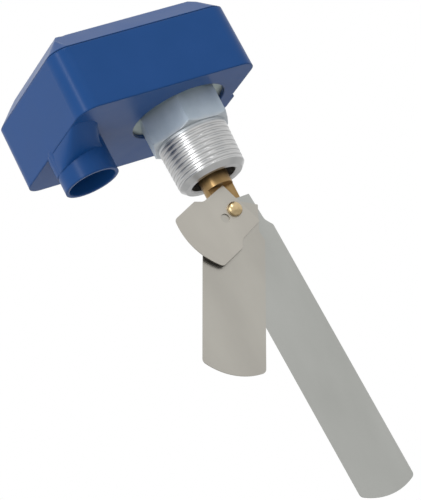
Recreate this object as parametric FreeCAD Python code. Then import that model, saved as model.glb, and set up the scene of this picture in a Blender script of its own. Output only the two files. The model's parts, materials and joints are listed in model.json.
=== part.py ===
import FreeCAD, Part
import math
import os

from FreeCAD import Vector

# Paddle flow switch for a one-inch pipe boss: a plastic casing with a snap switch stands on a
# threaded metal fitting, and a brass stem through the fitting carries three steel paddles.
# Millimetres. +Z runs up the fitting's axis, +X along the casing's long side away from the cable
# spigot, +Y along the flow. The origin is on the fitting's axis at the underside of the hexagon.

# Pipe fitting
THREAD_GAUGE_RADIUS = 16.62
THREAD_LENGTH = 22.6
THREAD_TAPER = 1.0 / 32.0
THREAD_DEPTH = 0.55
THREAD_END_CHAMFER = 2.3
FITTING_BORE_RADIUS = 10.75
HEX_HEIGHT = 15.5
HEX_ACROSS_FLATS = 35.6
HEX_TURN = 4.0
HEX_CORNER_CHAMFER = 1.2
COLLAR_RADIUS = 13.0
COLLAR_HEIGHT = 6.0

# Casing
CASE_TO_RIGHT = 28.8
CASE_TO_LEFT = 64.1
CASE_TO_FRONT = 33.0
CASE_TO_BACK = 45.7
CASE_WALL_HEIGHT = 30.7
CASE_WALL = 2.5
CASE_FLOOR = 2.0
CASE_CORNER_RADIUS = 9.0
CASE_DRAFT = 0.86
CASE_OPENING_RADIUS = 22.7
END_LUG_REACH = 2.1
END_LUG_WIDTH = 13.0
END_LUG_HEIGHT = 10.0
END_LUG_CORNER_RADIUS = 2.0

# Cover
COVER_RISE = 10.2
COVER_CHAMFER_RUN = 11.0
COVER_WALL = 2.5
COVER_LIP_DEPTH = 3.0
COVER_LIP_THICKNESS = 1.6
SEAM_GAP = 0.3
GASKET_WIDTH = 1.2
GASKET_GROOVE_DEPTH = 0.8

# Cover screws, their posts and wells
COVER_SCREW_INSET = 14.8
COVER_SCREW_RADIUS = 1.5
COVER_SCREW_HEAD_RADIUS = 3.1
COVER_SCREW_HEAD_HEIGHT = 2.2
COVER_WELL_RADIUS = 3.7
COVER_WELL_DEPTH = 3.0
COVER_BOSS_HEIGHT = 4.0
COVER_SCREW_GRIP = 9.0
POST_RADIUS = 3.6

# Cable spigot
SPIGOT_X = -51.4
SPIGOT_Y = 8.5
SPIGOT_RADIUS = 12.8
SPIGOT_WALL = 1.6
SPIGOT_LENGTH = 17.5
RAMP_DEPTH = 6.5
RAMP_REACH = 28.5
RAMP_WIDTH = 16.5
RAMP_EDGE_INSET = 0.8
RAMP_LEFT_RADIUS = 2.0
RAMP_RIGHT_RADIUS = 14.0
RAMP_LEFT_STEPS = 2
RAMP_RIGHT_STEPS = 6
RAMP_SPIGOT_START = 185
RAMP_SPIGOT_END = 298

# Chassis plate
PLATE_THICKNESS = 1.5
PLATE_LEFT = 32.0
PLATE_EDGE_GAP = 0.5
PLATE_CORNER_CUT = 7.0
TAB_WIDTH = 10.0
TAB_LENGTH = 10.0
TAB_RISE = 6.0
TAB_SCREW_RADIUS = 1.5
TAB_SCREW_HEAD_RADIUS = 2.9
TAB_SCREW_HEAD_HEIGHT = 1.8
TAB_FRONT_Y = -20.0
TAB_BACK_Y = 31.0
LEDGE_REACH = 2.6
LEDGE_WIDTH = 8.0
LEDGE_HEIGHT = 3.0
LEDGE_FRONT_Y = -17.0
LEDGE_BACK_Y = 24.0

# Lock nut on the fitting's collar
LOCK_NUT_ACROSS_FLATS = 32.0
LOCK_NUT_HEIGHT = 3.5

# Pivot
PIVOT_ABOVE_PLATE = 9.0
PIVOT_PIN_RADIUS = 2.0
EAR_INNER_X = 20.5
EAR_THICKNESS = 1.5
EAR_WIDTH = 11.0
PIN_HEAD_RADIUS = 3.4
CLIP_THICKNESS = 0.8
PIN_OVERHANG = 1.6

# Stem
STEM_RADIUS = 6.9
STEM_END_BELOW_SCREW = 7.0
STEM_FLAT_DEPTH = 2.0
STEM_WAIST_RADIUS = 4.0
STEM_HEAD_RADIUS = 5.5
STEM_HEAD_RISE = 4.0
STEM_HEAD_DROP = 3.5
STEM_FLANGE_RADIUS = 8.9
STEM_FLANGE_THICKNESS = 1.5
STEM_STUD_RADIUS = 2.5

# Bellows between the stem's flange and the fitting's collar
BELLOWS_RADIUS = 8.4
BELLOWS_WALL = 1.2
BELLOWS_RIM_RADIUS = 12.5
BELLOWS_RIM_THICKNESS = 0.5
BELLOWS_BASE_Z = 4.0

# Rocker lever
LEVER_THICKNESS = 1.5
LEVER_WIDTH = 12.0
LEVER_FRONT = 7.0
LEVER_BACK = 34.0
LEVER_NOSE_RADIUS = 4.5
LEVER_NUT_ACROSS_FLATS = 8.0
LEVER_NUT_HEIGHT = 3.2

# Snap switch
SWITCH_LENGTH = 49.2
SWITCH_LEFT = 28.5
SWITCH_DEPTH = 17.5
SWITCH_Y = 13.0
SWITCH_HEIGHT = 13.2
SWITCH_ABOVE_LEVER = 2.2
PLUNGER_RADIUS = 1.6
PLUNGER_SOCKET = 4.0
PLUNGER_TRAVEL = 1.5
SWITCH_SCREW_RADIUS = 1.5
SWITCH_SCREW_SPACING = 25.4
SWITCH_SCREW_HEAD_RADIUS = 2.8
SWITCH_SCREW_HEAD_HEIGHT = 1.8
TERMINAL_WIDTH = 7.0
TERMINAL_DEPTH = 9.0
TERMINAL_THICKNESS = 0.9
TERMINAL_XS = (-21.0, -5.0, 11.0)
TERMINAL_SCREW_HEAD_RADIUS = 2.9
TERMINAL_SCREW_HEAD_HEIGHT = 1.7

# Switch bracket with the range screw's shelf
BRACKET_THICKNESS = 1.5
BRACKET_HALF_WIDTH = 19.0
BRACKET_HEIGHT = 29.0
BRACKET_FOOT = 12.0
SHELF_HALF_WIDTH = 9.0
SHELF_REACH = 14.0
WINDOW_HALF_WIDTH = 8.0
WINDOW_MARGIN = 3.6
BRACKET_SCREW_RADIUS = 1.5
BRACKET_SCREW_HEAD_RADIUS = 2.8
BRACKET_SCREW_HEAD_HEIGHT = 1.8
BRACKET_SCREW_XS = (-14.0, 4.0)

# Range screw, nut and spring
RANGE_Y = 30.0
RANGE_SCREW_RADIUS = 2.0
RANGE_HEAD_RADIUS = 4.0
RANGE_HEAD_HEIGHT = 2.6
RANGE_NUT_DROP = 5.5
RANGE_NUT_SIZE = 12.0
RANGE_NUT_HEIGHT = 2.5
RANGE_SCREW_DROP = 10.4
RANGE_CLIP_RADIUS = 4.0
RANGE_CLIP_THICKNESS = 0.8
SPRING_COIL_RADIUS = 3.3
SPRING_WIRE_RADIUS = 0.45
SPRING_TURNS = 3
SPRING_RUNS_PER_TURN = 12

# Ground terminal
GROUND_LUG_WIDTH = 12.0
GROUND_LUG_HEIGHT = 14.0
GROUND_Y = 8.0
GROUND_Z_ABOVE_PLATE = 9.0
GROUND_SCREW_RADIUS = 2.0
GROUND_HEAD_RADIUS = 3.6
GROUND_HEAD_HEIGHT = 2.4
GROUND_SCREW_REACH = 6.0

# Paddles
PADDLE_SCREW_DROP = 39.7
PADDLE_THICKNESS = 0.5
PADDLE_WIDTH = 29.4
PADDLE_HEEL_WIDTH = 22.6
PADDLE_NECK_WIDTH = 23.8
PADDLE_HEEL = 5.0
PADDLE_NECK_END = 8.6
PADDLE_SHOULDER_END = 12.2
PADDLE_NECK_FILLET = 4.0
PADDLE_TIP_RISE = 4.0
PADDLE_CORNER_RADIUS = 2.5
PADDLE_HOLE_SPACING = 6.9
PADDLE_SPARE_HOLE_RADIUS = 2.2
LONG_PADDLE_LENGTH = 144.5
MEDIUM_PADDLE_LENGTH = 81.3
SMALL_PADDLE_LENGTH = 31.0
LONG_PADDLE_SWING = 2.0
MEDIUM_PADDLE_SWING = -28.3
SMALL_PADDLE_SWING = -67.5
SMALL_PADDLE_BEND = 4.5
SMALL_PADDLE_BEND_START = 8.5
PADDLE_SCREW_RADIUS = 2.0
PADDLE_SCREW_GRIP = 6.5
PADDLE_HEAD_RADIUS = 3.45
PADDLE_HEAD_HEIGHT = 2.5
PADDLE_HEAD_BEVEL = 1.0

# Clearances
RUNNING_GAP = 0.06
CLOSE_GAP = 0.1
FIT_GAP = 0.3
STACK_GAP = 0.05

# Heights and planes that follow from the sizes above
PLATE_BOTTOM = HEX_HEIGHT
PLATE_TOP = PLATE_BOTTOM + PLATE_THICKNESS
CASE_BOTTOM = PLATE_BOTTOM - CASE_FLOOR
SEAM = CASE_BOTTOM + CASE_WALL_HEIGHT
COVER_TOP = SEAM + COVER_RISE
COVER_INSIDE_TOP = COVER_TOP - COVER_WALL
COLLAR_TOP = HEX_HEIGHT + COLLAR_HEIGHT
PIVOT_Z = PLATE_TOP + PIVOT_ABOVE_PLATE
LEVER_BOTTOM = PIVOT_Z + STEM_HEAD_RISE
LEVER_TOP = LEVER_BOTTOM + LEVER_THICKNESS
SWITCH_BOTTOM = LEVER_TOP + SWITCH_ABOVE_LEVER
SWITCH_TOP = SWITCH_BOTTOM + SWITCH_HEIGHT
SWITCH_SCREW_Z = SWITCH_BOTTOM + SWITCH_HEIGHT / 2
SWITCH_BACK = SWITCH_Y + SWITCH_DEPTH / 2
BRACKET_BACK = SWITCH_BACK + BRACKET_THICKNESS
SHELF_TOP = PLATE_TOP + BRACKET_HEIGHT
SHELF_BOTTOM = SHELF_TOP - BRACKET_THICKNESS
RANGE_NUT_TOP = SHELF_BOTTOM - RANGE_NUT_DROP + RANGE_NUT_HEIGHT
RANGE_NUT_BOTTOM = RANGE_NUT_TOP - RANGE_NUT_HEIGHT
WELL_FLOOR = COVER_TOP - COVER_WELL_DEPTH
BOSS_BOTTOM = COVER_INSIDE_TOP - COVER_BOSS_HEIGHT
POST_TOP = BOSS_BOTTOM - CLOSE_GAP
SPIGOT_BORE = SPIGOT_RADIUS - SPIGOT_WALL
SPIGOT_MOUTH = CASE_BOTTOM - SPIGOT_LENGTH
GROUND_Z = PLATE_TOP + GROUND_Z_ABOVE_PLATE
PADDLE_SCREW_Z = -PADDLE_SCREW_DROP
PADDLE_PITCH = PADDLE_THICKNESS + STACK_GAP
LONG_PADDLE_BACK = -STEM_FLAT_DEPTH - STACK_GAP
MEDIUM_PADDLE_BACK = LONG_PADDLE_BACK - PADDLE_PITCH
SMALL_PADDLE_BACK = MEDIUM_PADDLE_BACK - PADDLE_PITCH
PADDLE_STACK_FRONT = SMALL_PADDLE_BACK - PADDLE_PITCH
PADDLE_HOLE_RADIUS = PADDLE_SCREW_RADIUS + RUNNING_GAP
STEM_FLAT_TOP = PADDLE_SCREW_Z + math.hypot(PADDLE_HEEL_WIDTH / 2, PADDLE_HEEL) + FIT_GAP
STEM_END = PADDLE_SCREW_Z - STEM_END_BELOW_SCREW

X_AXIS = Vector(1, 0, 0)
Y_AXIS = Vector(0, 1, 0)
Z_AXIS = Vector(0, 0, 1)


def box(x0, x1, y0, y1, z0, z1):
    return Part.makeBox(x1 - x0, y1 - y0, z1 - z0, Vector(x0, y0, z0))


def rod_z(radius, z0, z1, x=0.0, y=0.0):
    return Part.makeCylinder(radius, z1 - z0, Vector(x, y, z0), Z_AXIS)


def rod_y(radius, y0, y1, x, z):
    return Part.makeCylinder(radius, y1 - y0, Vector(x, y0, z), Y_AXIS)


def rod_x(radius, x0, x1, y, z):
    return Part.makeCylinder(radius, x1 - x0, Vector(x0, y, z), X_AXIS)


def cut_all(solid, tools):
    for tool in tools:
        solid = solid.cut(tool)
    return solid


def fuse_all(first, others):
    solid = first
    for other in others:
        solid = solid.fuse(other)
    return solid.removeSplitter()


def revolve(points):
    """Turn a closed outline of (radius, height) points about the fitting's axis."""
    corners = [Vector(radius, 0, z) for radius, z in points]
    wire = Part.makePolygon(corners + corners[:1])
    return Part.Face(wire).revolve(Vector(0, 0, 0), Z_AXIS, 360)


def hexagon(across_flats, z0, z1, turn=0.0):
    radius = across_flats / math.sqrt(3)
    corners = []
    for i in range(7):
        angle = math.radians(60 * i + turn)
        corners.append(Vector(radius * math.cos(angle), radius * math.sin(angle), z0))
    return Part.Face(Part.makePolygon(corners)).extrude(Vector(0, 0, z1 - z0))


def corner_arc(x, y, radius, start, z):
    """Quarter of a circle about (x, y), turning from the start angle."""
    points = []
    for step in (0, 45, 90):
        angle = math.radians(start + step)
        points.append(Vector(x + radius * math.cos(angle), y + radius * math.sin(angle), z))
    return Part.Arc(*points).toShape()


def rounded_rectangle(x0, x1, y0, y1, radius, z):
    arcs = [
        corner_arc(x1 - radius, y1 - radius, radius, 0, z),
        corner_arc(x0 + radius, y1 - radius, radius, 90, z),
        corner_arc(x0 + radius, y0 + radius, radius, 180, z),
        corner_arc(x1 - radius, y0 + radius, radius, 270, z),
    ]
    edges = []
    for arc, following in zip(arcs, arcs[1:] + arcs[:1]):
        edges.append(arc)
        edges.append(Part.makeLine(arc.Vertexes[-1].Point, following.Vertexes[0].Point))
    return Part.Wire(edges)


def case_outline(inset, z):
    """The casing's plan outline at one height, moved in from the underside's outline."""
    return rounded_rectangle(
        -CASE_TO_LEFT + inset,
        CASE_TO_RIGHT - inset,
        -CASE_TO_FRONT + inset,
        CASE_TO_BACK - inset,
        CASE_CORNER_RADIUS - inset,
        z,
    )


def draft_inset(z):
    return (z - CASE_BOTTOM) * math.tan(math.radians(CASE_DRAFT))


def case_block(inset, z0, z1):
    """A drafted block that follows the casing's walls at a constant inset."""
    lower = case_outline(inset + draft_inset(z0), z0)
    upper = case_outline(inset + draft_inset(z1), z1)
    return Part.makeLoft([lower, upper], True, True)


def case_well(inset, z0, z1):
    """A straight-sided block that follows the casing's walls at the height of the seam."""
    outline = case_outline(inset + draft_inset(SEAM), z0)
    return Part.Face(outline).extrude(Vector(0, 0, z1 - z0))


def case_ring(outer, inner, z0, z1):
    return case_well(outer, z0, z1).cut(case_well(inner, z0 - 1, z1 + 1))


def cover_screw_places():
    """Two screws at opposite corners of the cover's flat top."""
    return [
        (COVER_SCREW_INSET - CASE_TO_LEFT, COVER_SCREW_INSET - CASE_TO_FRONT),
        (CASE_TO_RIGHT - COVER_SCREW_INSET, CASE_TO_BACK - COVER_SCREW_INSET),
    ]


def tab_screw_places():
    x = -PLATE_LEFT - TAB_LENGTH / 2
    return [(x, TAB_FRONT_Y), (x, TAB_BACK_Y)]


def arc_points(x, y, radius, start, end, steps, z):
    """Points along an arc about (x, y), from one angle to another."""
    points = []
    for step in range(steps + 1):
        angle = math.radians(start + (end - start) * step / steps)
        points.append(Vector(x + radius * math.cos(angle), y + radius * math.sin(angle), z))
    return points


def closed_polygon(points):
    return Part.makePolygon(points + points[:1])


def spigot_ramp():
    """The moulded ramp that falls from the casing's underside, near its front, to the spigot."""
    left = -CASE_TO_LEFT + RAMP_EDGE_INSET
    right = left + RAMP_WIDTH
    front = SPIGOT_Y - RAMP_REACH
    upper = [Vector(left, SPIGOT_Y, CASE_BOTTOM)]
    upper += arc_points(left + RAMP_LEFT_RADIUS, front + RAMP_LEFT_RADIUS, RAMP_LEFT_RADIUS,
                        180, 270, RAMP_LEFT_STEPS, CASE_BOTTOM)
    upper += arc_points(right - RAMP_RIGHT_RADIUS, front + RAMP_RIGHT_RADIUS, RAMP_RIGHT_RADIUS,
                        270, 360, RAMP_RIGHT_STEPS, CASE_BOTTOM)
    upper.append(Vector(right, SPIGOT_Y - SPIGOT_BORE, CASE_BOTTOM))
    lower = arc_points(SPIGOT_X, SPIGOT_Y, SPIGOT_RADIUS - FIT_GAP, RAMP_SPIGOT_START,
                       RAMP_SPIGOT_END, len(upper) - 1, CASE_BOTTOM - RAMP_DEPTH)
    ramp = Part.makeLoft([closed_polygon(upper), closed_polygon(lower)], True, True)
    root = Part.Face(closed_polygon(upper)).extrude(Vector(0, 0, CASE_FLOOR / 2))
    return ramp.fuse(root)


def housing():
    shell = case_block(0, CASE_BOTTOM, SEAM)
    middle = (CASE_TO_BACK - CASE_TO_FRONT) / 2
    lug = rounded_rectangle(0, CASE_TO_RIGHT + END_LUG_REACH, middle - END_LUG_WIDTH / 2,
                            middle + END_LUG_WIDTH / 2, END_LUG_CORNER_RADIUS, CASE_BOTTOM)
    end_lug = Part.Face(lug).extrude(Vector(0, 0, END_LUG_HEIGHT))
    spigot = rod_z(SPIGOT_RADIUS, SPIGOT_MOUTH, PLATE_BOTTOM, SPIGOT_X, SPIGOT_Y)
    shell = fuse_all(shell, [end_lug, spigot, spigot_ramp()])
    shell = shell.cut(case_well(CASE_WALL, PLATE_BOTTOM, SEAM + 1))
    posts = []
    for x, y in cover_screw_places():
        post = rod_z(POST_RADIUS, PLATE_BOTTOM - CASE_FLOOR / 2, POST_TOP, x, y)
        pilot_bottom = WELL_FLOOR - COVER_BOSS_HEIGHT - COVER_SCREW_GRIP - 1
        pilot = rod_z(COVER_SCREW_RADIUS + CLOSE_GAP, pilot_bottom, POST_TOP + 1, x, y)
        posts.append(post.cut(pilot))
    for x, y in tab_screw_places():
        posts.append(
            box(x - POST_RADIUS, x + POST_RADIUS, y - POST_RADIUS, y + POST_RADIUS,
                PLATE_BOTTOM - CASE_FLOOR / 2, PLATE_BOTTOM + TAB_RISE)
        )
    ledge_z = PLATE_TOP + CLOSE_GAP
    for y in (LEDGE_FRONT_Y, LEDGE_BACK_Y):
        inner = CASE_TO_RIGHT - CASE_WALL - draft_inset(SEAM)
        posts.append(
            box(inner - LEDGE_REACH, inner + CASE_WALL / 2, y - LEDGE_WIDTH / 2,
                y + LEDGE_WIDTH / 2, ledge_z, ledge_z + LEDGE_HEIGHT)
        )
    shell = fuse_all(shell, posts)
    groove = (CASE_WALL - GASKET_WIDTH) / 2
    cuts = [
        rod_z(CASE_OPENING_RADIUS, CASE_BOTTOM - 1, PLATE_BOTTOM + 1),
        rod_z(SPIGOT_BORE, SPIGOT_MOUTH - 1, PLATE_BOTTOM + 1, SPIGOT_X, SPIGOT_Y),
        case_ring(groove, groove + GASKET_WIDTH, SEAM - GASKET_GROOVE_DEPTH, SEAM + 1),
    ]
    for x, y in tab_screw_places():
        cuts.append(
            rod_z(TAB_SCREW_RADIUS, PLATE_BOTTOM + 1, PLATE_BOTTOM + TAB_RISE + 1, x, y)
        )
    return cut_all(shell, cuts)


def cover_gasket():
    groove = (CASE_WALL - GASKET_WIDTH) / 2
    top = SEAM + SEAM_GAP - STACK_GAP
    return case_ring(groove + STACK_GAP, groove + GASKET_WIDTH - STACK_GAP,
                     SEAM - GASKET_GROOVE_DEPTH, top)


def hip_cutter(side_x, side_y, radius, slope, z0, z1):
    """What is left outside a cone that stands on one rounded corner of the casing."""
    x = -CASE_TO_LEFT + CASE_CORNER_RADIUS if side_x < 0 else CASE_TO_RIGHT - CASE_CORNER_RADIUS
    y = -CASE_TO_FRONT + CASE_CORNER_RADIUS if side_y < 0 else CASE_TO_BACK - CASE_CORNER_RADIUS
    far_x = x + 2 * side_x * CASE_CORNER_RADIUS
    far_y = y + 2 * side_y * CASE_CORNER_RADIUS
    quarter = box(min(x, far_x), max(x, far_x), min(y, far_y), max(y, far_y), z0 - 1, z1 + 1)
    cone = Part.makeCone(radius + slope, 0, radius / slope + 1, Vector(x, y, z0 - 1))
    return quarter.cut(cone)


def hipped_block(wall, z0, z1):
    """The casing's outline carried up inside four slopes with rounded hips, moved in by a wall."""
    slope = COVER_CHAMFER_RUN / COVER_RISE
    low, high = [
        draft_inset(SEAM) + (z - SEAM) * slope + wall * math.hypot(1, slope) for z in (z0, z1)
    ]
    hip = Part.makeWedge(
        -CASE_TO_LEFT + low, z0, -CASE_TO_BACK + low, -CASE_TO_BACK + high, -CASE_TO_LEFT + high,
        CASE_TO_RIGHT - low, z1, CASE_TO_FRONT - low, CASE_TO_FRONT - high, CASE_TO_RIGHT - high,
    )
    hip.rotate(Vector(0, 0, 0), X_AXIS, 90)
    corners = []
    for side_x in (-1, 1):
        for side_y in (-1, 1):
            corners.append(hip_cutter(side_x, side_y, CASE_CORNER_RADIUS - low, slope, z0, z1))
    return cut_all(hip, corners)


def cover():
    bottom = SEAM + SEAM_GAP
    outer = hipped_block(0, bottom, COVER_TOP)
    inner = hipped_block(COVER_WALL, bottom, COVER_INSIDE_TOP)
    lip_outer = CASE_WALL + FIT_GAP
    lip_inner = lip_outer + COVER_LIP_THICKNESS
    lip = case_ring(lip_outer, lip_inner, SEAM - COVER_LIP_DEPTH, bottom + COVER_LIP_THICKNESS)
    shell = outer.cut(inner)
    shell = shell.fuse(lip)
    for x, y in cover_screw_places():
        boss = rod_z(COVER_WELL_RADIUS + CASE_WALL / 2, BOSS_BOTTOM, COVER_INSIDE_TOP + 1, x, y)
        shell = shell.fuse(boss)
    shell = shell.removeSplitter()
    for x, y in cover_screw_places():
        shell = shell.cut(rod_z(COVER_WELL_RADIUS, WELL_FLOOR, COVER_TOP + 1, x, y))
        shell = shell.cut(
            rod_z(COVER_SCREW_RADIUS + FIT_GAP, BOSS_BOTTOM - 1, WELL_FLOOR + 1, x, y)
        )
    return shell


def machine_screw(base, direction, radius, length, head_radius, head_height):
    """A round-headed screw: its head stands on the base point, its shank runs along the direction."""
    head = Part.makeCylinder(head_radius, head_height, base, direction * -1)
    shank = Part.makeCylinder(radius, length, base, direction)
    return head.fuse(shank).removeSplitter()


def hex_screw(base, direction, radius, length, head_radius, head_height):
    """A screw like the round-headed one, with six flats on its head."""
    corners = []
    for i in range(7):
        angle = math.radians(60 * i)
        corners.append(Vector(head_radius * math.cos(angle), head_radius * math.sin(angle), 0))
    head = Part.Face(Part.makePolygon(corners)).extrude(Vector(0, 0, head_height))
    head.Placement = FreeCAD.Placement(base, FreeCAD.Rotation(Z_AXIS, direction * -1))
    shank = Part.makeCylinder(radius, length, base, direction)
    return head.fuse(shank).removeSplitter()


def cover_screws():
    length = COVER_BOSS_HEIGHT + COVER_SCREW_GRIP
    screws = []
    for x, y in cover_screw_places():
        screws.append(
            machine_screw(Vector(x, y, WELL_FLOOR), Z_AXIS * -1, COVER_SCREW_RADIUS, length,
                           COVER_SCREW_HEAD_RADIUS, COVER_SCREW_HEAD_HEIGHT)
        )
    return Part.makeCompound(screws)


def thread_radius(depth_below_hex):
    return THREAD_GAUGE_RADIUS - THREAD_DEPTH - depth_below_hex * THREAD_TAPER


def pipe_fitting():
    """Hexagon, tapered threaded nose and upper collar around one bore."""
    end_radius = thread_radius(THREAD_LENGTH)
    nose = revolve([
        (FITTING_BORE_RADIUS, COLLAR_TOP),
        (FITTING_BORE_RADIUS, -THREAD_LENGTH),
        (end_radius - THREAD_END_CHAMFER, -THREAD_LENGTH),
        (end_radius, -THREAD_LENGTH + THREAD_END_CHAMFER * 0.6),
        (thread_radius(0), 0),
        (thread_radius(0), HEX_HEIGHT / 2),
        (COLLAR_RADIUS, HEX_HEIGHT / 2),
        (COLLAR_RADIUS, COLLAR_TOP),
    ])
    corner_radius = HEX_ACROSS_FLATS / math.sqrt(3)
    blank = revolve([
        (COLLAR_RADIUS - 1, 0),
        (corner_radius - HEX_CORNER_CHAMFER * 1.7, 0),
        (corner_radius, HEX_CORNER_CHAMFER),
        (corner_radius, HEX_HEIGHT),
        (COLLAR_RADIUS - 1, HEX_HEIGHT),
    ])
    hex_part = hexagon(HEX_ACROSS_FLATS, 0, HEX_HEIGHT, HEX_TURN).common(blank)
    return fuse_all(nose, [hex_part])


def fitting_lock_nut():
    nut = hexagon(LOCK_NUT_ACROSS_FLATS, PLATE_TOP, PLATE_TOP + LOCK_NUT_HEIGHT)
    return nut.cut(rod_z(COLLAR_RADIUS + STACK_GAP, PLATE_BOTTOM, COLLAR_TOP))


def bellows():
    """Sealing sleeve from the stem's flange up to a rim that lies on the collar."""
    return revolve([
        (BELLOWS_RADIUS - BELLOWS_WALL, BELLOWS_BASE_Z),
        (BELLOWS_RADIUS, BELLOWS_BASE_Z),
        (BELLOWS_RADIUS, COLLAR_TOP),
        (BELLOWS_RIM_RADIUS, COLLAR_TOP),
        (BELLOWS_RIM_RADIUS, COLLAR_TOP + BELLOWS_RIM_THICKNESS),
        (BELLOWS_RADIUS - BELLOWS_WALL, COLLAR_TOP + BELLOWS_RIM_THICKNESS),
    ])


def joggled_tab(y):
    """A strap that steps up from the plate's left edge to the height of its post."""
    outline = [
        Vector(-PLATE_LEFT + 2 * PLATE_THICKNESS, 0, PLATE_BOTTOM),
        Vector(-PLATE_LEFT + 2 * PLATE_THICKNESS, 0, PLATE_TOP),
        Vector(-PLATE_LEFT + PLATE_THICKNESS, 0, PLATE_TOP),
        Vector(-PLATE_LEFT + PLATE_THICKNESS, 0, PLATE_TOP + TAB_RISE),
        Vector(-PLATE_LEFT - TAB_LENGTH, 0, PLATE_TOP + TAB_RISE),
        Vector(-PLATE_LEFT - TAB_LENGTH, 0, PLATE_BOTTOM + TAB_RISE),
        Vector(-PLATE_LEFT, 0, PLATE_BOTTOM + TAB_RISE),
        Vector(-PLATE_LEFT, 0, PLATE_BOTTOM),
    ]
    wire = Part.makePolygon(outline + outline[:1])
    wire.translate(Vector(0, y - TAB_WIDTH / 2, 0))
    return Part.Face(wire).extrude(Vector(0, TAB_WIDTH, 0))


def pivot_ear(side):
    inner = side * EAR_INNER_X
    outer = side * (EAR_INNER_X + EAR_THICKNESS)
    x0, x1 = min(inner, outer), max(inner, outer)
    upright = box(x0, x1, -EAR_WIDTH / 2, EAR_WIDTH / 2, PLATE_BOTTOM, PIVOT_Z)
    crown = rod_x(EAR_WIDTH / 2, x0, x1, 0, PIVOT_Z)
    return upright.fuse(crown)


def ground_lug():
    return box(-PLATE_LEFT, -PLATE_LEFT + PLATE_THICKNESS, GROUND_Y - GROUND_LUG_WIDTH / 2,
               GROUND_Y + GROUND_LUG_WIDTH / 2, PLATE_BOTTOM, PLATE_TOP + GROUND_LUG_HEIGHT)


def chassis_plate():
    inset = draft_inset(SEAM) + CASE_WALL + PLATE_EDGE_GAP
    right = CASE_TO_RIGHT - inset
    front = -CASE_TO_FRONT + inset
    back = CASE_TO_BACK - inset
    corner = PLATE_CORNER_CUT
    outline = [
        Vector(-PLATE_LEFT, front, PLATE_BOTTOM),
        Vector(right - corner, front, PLATE_BOTTOM),
        Vector(right, front + corner, PLATE_BOTTOM),
        Vector(right, back - corner, PLATE_BOTTOM),
        Vector(right - corner, back, PLATE_BOTTOM),
        Vector(-PLATE_LEFT, back, PLATE_BOTTOM),
    ]
    plate = Part.Face(Part.makePolygon(outline + outline[:1]))
    plate = plate.extrude(Vector(0, 0, PLATE_THICKNESS))
    tabs = [joggled_tab(TAB_FRONT_Y), joggled_tab(TAB_BACK_Y), ground_lug()]
    plate = fuse_all(plate, tabs + [pivot_ear(1), pivot_ear(-1)])
    cuts = [
        rod_z(COLLAR_RADIUS + CLOSE_GAP, PLATE_BOTTOM - 1, PLATE_TOP + 1),
        rod_x(PIVOT_PIN_RADIUS + RUNNING_GAP, -2 * EAR_INNER_X, 2 * EAR_INNER_X, 0, PIVOT_Z),
        rod_x(GROUND_SCREW_RADIUS + STACK_GAP, -PLATE_LEFT - 1, -PLATE_LEFT + PLATE_THICKNESS + 1,
              GROUND_Y, GROUND_Z),
    ]
    for x, y in tab_screw_places():
        cuts.append(
            rod_z(TAB_SCREW_RADIUS + CLOSE_GAP, PLATE_BOTTOM, PLATE_TOP + TAB_RISE + 1, x, y)
        )
    x, y = cover_screw_places()[1]
    cuts.append(rod_z(POST_RADIUS + FIT_GAP, PLATE_BOTTOM - 1, PLATE_TOP + 1, x, y))
    for x in BRACKET_SCREW_XS:
        cuts.append(
            rod_z(BRACKET_SCREW_RADIUS + STACK_GAP, PLATE_BOTTOM - 1, PLATE_TOP + 1, x,
                  BRACKET_BACK + BRACKET_FOOT / 2)
        )
    return cut_all(plate, cuts)


def chassis_screws():
    screws = []
    for x, y in tab_screw_places():
        screws.append(
            hex_screw(Vector(x, y, PLATE_TOP + TAB_RISE), Z_AXIS * -1,
                           TAB_SCREW_RADIUS - STACK_GAP, PLATE_THICKNESS + TAB_RISE - 1.5,
                           TAB_SCREW_HEAD_RADIUS, TAB_SCREW_HEAD_HEIGHT)
        )
    return Part.makeCompound(screws)


def pivot_pin():
    """Headed pin through both ears and the stem's head."""
    reach = EAR_INNER_X + EAR_THICKNESS
    head = rod_x(PIN_HEAD_RADIUS, -reach - PIN_OVERHANG, -reach, 0, PIVOT_Z)
    shank = rod_x(PIVOT_PIN_RADIUS, -reach, reach + PIN_OVERHANG, 0, PIVOT_Z)
    return head.fuse(shank).removeSplitter()


def pivot_clip():
    inner = EAR_INNER_X + EAR_THICKNESS + CLOSE_GAP
    clip = rod_x(PIN_HEAD_RADIUS, inner, inner + CLIP_THICKNESS, 0, PIVOT_Z)
    bore = rod_x(PIVOT_PIN_RADIUS, EAR_INNER_X, 2 * EAR_INNER_X, 0, PIVOT_Z)
    mouth = box(EAR_INNER_X, 2 * EAR_INNER_X, -PIVOT_PIN_RADIUS / 2, PIVOT_PIN_RADIUS / 2,
                PIVOT_Z, PIVOT_Z + 2 * PIN_HEAD_RADIUS)
    return clip.cut(bore).cut(mouth)


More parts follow.
